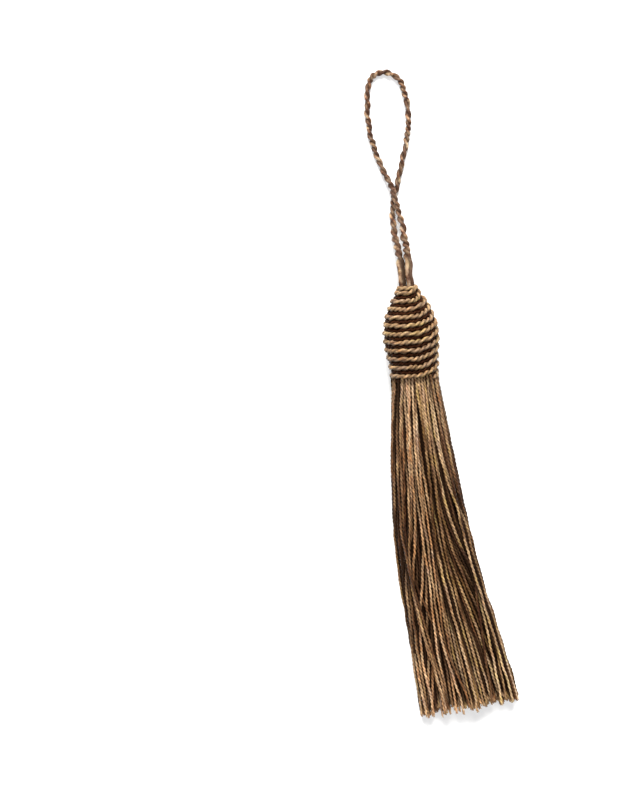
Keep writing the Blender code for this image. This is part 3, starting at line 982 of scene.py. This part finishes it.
def cover_beside(yarns, lock):
    """How much each yarn's neighbours hide its left and its right side at each station, for painted
    shade.

    The yarns of one lock lie so close under the head that hardly any shadow parts them.
    """
    same = lock[:, None] == lock[None, :]
    sides = []
    for sign in (-1.0, 1.0):
        cover = []
        for station in range(yarns.shape[1]):
            across, height = yarns[:, station, 0], yarns[:, station, 2]
            opened = smoothstep((yarns[0, station, 1] - SAME_LOCK_FROM) / SAME_LOCK_OVER)
            gap = sign * (across[None, :] - across[:, None])
            beside = (gap > BESIDE_FROM) & (height[None, :] > height[:, None] - BESIDE_BELOW)
            weight = np.where(same, np.interp(opened, (0.0, 1.0), SAME_LOCK_SHADE), 1.0)
            hidden = weight * (1.0 - smoothstep((gap - COVER_FROM) / COVER_FADE))
            cover.append(np.where(beside, hidden, 0.0).max(axis=1))
        sides.append(smoothed(np.stack(cover, axis=1), SHADE_SMOOTHING))
    return sides


def depth_in_pile(yarns):
    """How deep each yarn lies under its neighbours at each station: 0 in sight, 1 well under.

    What lies over one of its sides alone counts less, and hardly at all for the outermost yarns.
    """
    depth = []
    for station in range(yarns.shape[1]):
        across, height = yarns[:, station, 0], yarns[:, station, 2]
        beside = across[None, :] - across[:, None]
        above = height[None, :] - height[:, None]
        covers, edges = [], []
        for sign in (-1, 1):
            over = (sign * beside > ABOVE_FROM) & (sign * beside < ABOVE_TO)
            covers.append(np.where(over, above, 0.0).max(axis=1))
            edges.append((sign * beside < EDGE_REACH).all(axis=1))
        least, most = np.sort(covers, axis=0)
        inner, edge = (low * least + high * most for low, high in (COVER_WEIGHTS, EDGE_WEIGHTS))
        cover = np.where(np.any(edges, axis=0), edge, inner)
        depth.append(smoothstep((cover - DEPTH_FROM) / DEPTH_FADE))
    return smoothed(np.stack(depth, axis=1), SHADE_SMOOTHING)


def flank_shade(rings, path, radius, depth, beside):
    """Painted shade at each point of a yarn: darker as it lies deeper, and on flanks with neighbours
    beside.
    """
    off_centre = (rings - path[:, None, :]) / radius[:, None, None]
    side = np.where(off_centre[..., 0] < 0.0, beside[0][:, None], beside[1][:, None])
    flank = smoothstep((FLANK_FROM - off_centre[..., 2]) / FLANK_FADE)
    return 1.0 - (1.0 - depth[:, None]) * (1.0 - side * flank)


def smoothed(lines, rounds):
    """Each yarn's points, or numbers, drawn a little towards their neighbours along it."""
    for _ in range(rounds):
        inner = 0.25 * lines[:, :-2] + 0.5 * lines[:, 1:-1] + 0.25 * lines[:, 2:]
        lines = np.concatenate([lines[:, :1], inner, lines[:, -1:]], axis=1)
    return lines


def on_the_pile(across, others, radius):
    """The height at which a yarn lies on the others, station by station."""
    apart = np.abs(others[:, :, 0] - across)
    reach = 2 * radius
    lift = np.sqrt(np.clip(reach**2 - apart**2, 0.0, None))
    touching = apart < reach
    return np.where(touching, others[:, :, 2] + lift, 0.0).max(axis=0)


def top_yarns(yarns, station):
    """The yarns that have nothing higher close beside them at this station."""
    across, height = yarns[:, station, 0], yarns[:, station, 2]
    near = np.abs(across[None, :] - across[:, None]) < STRAY_SIGHT
    highest = np.where(near, height[None, :], 0.0).max(axis=1)
    return np.flatnonzero(height + STRAY_TIE >= highest).tolist()


def stray(yarns):
    """Some of the top yarns leave their neighbours and cross over them, lying on the pile."""
    distance = yarns[0, :, 1]
    radius = yarn_radius(distance)
    left, right, _ = skirt_outline_at(distance)
    on_top = top_yarns(yarns, len(distance) // 3)  # a third of the way down
    rng.shuffle(on_top)
    strays = on_top[:STRAY_YARNS]
    staying = np.setdiff1d(np.arange(len(yarns)), strays)
    for station in range(yarns.shape[1]):
        yarns[staying, station, 0] = without_gaps(yarns[staying, station, 0], WIDEST_STEP)
    for i in strays:
        leaves = rng.uniform(*STRAY_LEAVES) * MM
        drift = rng.choice([rng.uniform(*span) for span in STRAY_DRIFTS]) * MM
        away = drift * smoothstep((distance - leaves) / (SKIRT_LENGTH * STRAY_LENGTH - leaves))
        inset = rng.uniform(*STRAY_INSET) * radius
        across = np.clip(yarns[i, :, 0] + away, left + inset, right - inset)
        others = np.delete(yarns, i, axis=0)
        height = on_the_pile(across, others, radius * PRESSED)
        gone = smoothstep((np.abs(across - yarns[i, :, 0]) - STRAY_LIFTS_FROM) / STRAY_LIFTS_OVER)
        for _ in range(STRAY_BRIDGING):
            height[1:-1] = np.maximum(height[1:-1], 0.5 * (height[:-2] + height[2:]))
        yarns[i, :, 0] = across
        yarns[i, :, 2] = (1 - gone) * yarns[i, :, 2] + gone * height
    return yarns


def yarn_path(yarn, lock_end, spacing):
    """A fine path of one yarn in world coordinates, from inside the head to its cut end."""
    base = head_base()
    left, right, _ = skirt_outline_at(SKIRT_LENGTH)
    share = (yarn[-1, 0] - left) / (right - left)
    length = CUT_AT - CUT_RISE * share + lock_end + rng.normal(0.0, CUT_UNEVEN)
    distance = yarn[:, 1]
    beyond = np.array([-YARN_START, *distance[1:-1], max(length, distance[-1] + CUT_LEAST)])
    knots = np.stack([yarn[:, 0], base.y - beyond, yarn[:, 2]], axis=1)
    path = evenly(smooth_curve(knots, YARN_CURVE_STEPS), spacing)
    along = lengths_along(path)
    path[:, 0] += uneven(along, *YARN_SLIDE)
    path[:, 2] += uneven(along, *YARN_LIFT)
    path[:, 2] = np.maximum(path[:, 2], yarn_radius(along) * PRESSED)
    return path


def yarn_colors(below_head, lock_tone, lock_hue):
    """A yarn's tone and hue along it: its lock's and the neck's first, then its own, with painted shade
    mid-way.
    """
    parted = smoothstep((below_head - COLORS_PART_FROM) / COLORS_PART_OVER)
    tone = LOCK_TONE * lock_tone + (1.0 - LOCK_TONE) * color_rng.random()
    tone = NECK_TONE + (tone - NECK_TONE) * (TONE_SPREAD[0] + TONE_SPREAD[1] * parted)
    down = np.clip(below_head / SKIRT_LENGTH, 0.0, 1.0)
    # painted shade half way down the skirt
    tone = tone - MIDDLE_SHADE * np.sin(math.pi * down) ** 2
    hue = LOCK_HUE * lock_hue + (1.0 - LOCK_HUE) * color_rng.random()
    hue = 0.5 + (hue - 0.5) * (HUE_SPREAD[0] + HUE_SPREAD[1] * parted)
    return tone, hue


def yarn_shade(rings, path, radius, below_head, stations, depth, beside):
    """Painted shade at each point of a yarn's rings, where its neighbours and the winding hide it."""
    from_end = below_head[-1] - below_head
    inside = 1.0 - smoothstep(1.0 - from_end / TIP_LENGTH)
    depth, *beside = (inside * np.interp(below_head, stations, line) for line in (depth, *beside))
    # painted shadow of the winding over the yarns' roots
    root = ROOT_SHADOW * (1.0 - smoothstep((below_head - ROOT_FROM) / ROOT_FADE))
    return np.maximum(flank_shade(rings, path, radius, depth, beside), root[:, None])


def cut_tuft(yarns, path, radius, number, tone, hue):
    """The fibres that spread at a cut end: a few short blunt wisps."""
    end = path[-1]
    ahead = end - path[-END_POINTS]
    ahead /= np.linalg.norm(ahead)
    side = np.cross(ahead, (0.0, 0.0, 1.0))
    above = np.cross(side, ahead)
    t = np.linspace(0.0, 1.0, WISP_POINTS)[:, None]
    for _ in range(WISPS):
        angle = rng.uniform(0, 2 * math.pi)
        out = rng.uniform(*WISP_PLACE) * radius
        offset = out * (math.cos(angle) * side + math.sin(angle) * above)
        reach = rng.uniform(*WISP_REACH) * MM
        spread = rng.uniform(*WISP_SPREAD) * reach * offset / radius
        wisp = end + offset + ahead * reach * ((1.0 + WISP_START) * t - WISP_START) + spread * t**2
        wisp[:, 2] = np.maximum(wisp[:, 2], WISP_LOWEST)
        girth = radius * rng.uniform(*WISP_GIRTH) * (1.0 - WISP_TAPER * t[:, 0] ** 2)
        tube = twisted_tube(wisp, girth, WISP_TURN, WISP_SIDES, WISP_PLIES, angle)
        yarns.add(tube, number, tone, hue)


def make_skirt(material):
    settled, lock = settled_yarns()
    settled = smoothed(stray(smoothed(settled, STRAIGHTENING)), STRAY_STRAIGHTENING)
    depth, beside = depth_in_pile(settled), cover_beside(settled, lock)
    lock_tone, lock_hue = ((color_rng.permutation(LOCKS) + 0.5) / LOCKS for _ in range(2))
    lock_end = rng.normal(0.0, LOCK_UNEVEN, LOCKS)
    for piece in range(SKIRT_PIECES):
        yarns = YarnMesh()
        for i in range(piece, len(settled), SKIRT_PIECES):
            step = FINE_STEP if depth[i].min() < IN_SIGHT else COARSE_STEP
            path = yarn_path(settled[i], lock_end[lock[i]], step)
            along = lengths_along(path)
            below_head = along - YARN_START
            radius = yarn_radius(along) * rng.uniform(*YARN_GIRTHS)
            number, phase = color_rng.random(), rng.uniform(0, 2 * math.pi)
            tone, hue = yarn_colors(below_head, lock_tone[lock[i]], lock_hue[lock[i]])
            turn = YARN_TURN * rng.uniform(*YARN_TURNS)
            tube = twisted_tube(path, radius, turn, YARN_SIDES, YARN_PLIES, phase)
            covers = settled[i, :, 1], depth[i], [side[i] for side in beside]
            shade = yarn_shade(tube[0], path, radius, below_head, *covers)
            yarns.add(tube, number, tone, hue, shade)
            cut_tuft(yarns, path, radius[-1], number, tone[-1] + CUT_TONE, hue[-1])
        yarns.make(f"skirt_yarns_{piece + 1}", material, "skirt_yarn", "skirt")


# ---- the scene


def main():
    make_camera()
    make_loop(yarn_material("loop_yarn", LOOP_TONES, **LOOP_YARN))
    make_skirt(yarn_material("skirt_yarn", SKIRT_TONES, **SKIRT_YARN))
    make_head(
        yarn_material("bright_cord", BRIGHT_CORD_TONES, **BRIGHT_YARN),
        yarn_material("dark_cord", DARK_CORD_TONES, **DARK_YARN),
    )
    make_studio()


main()
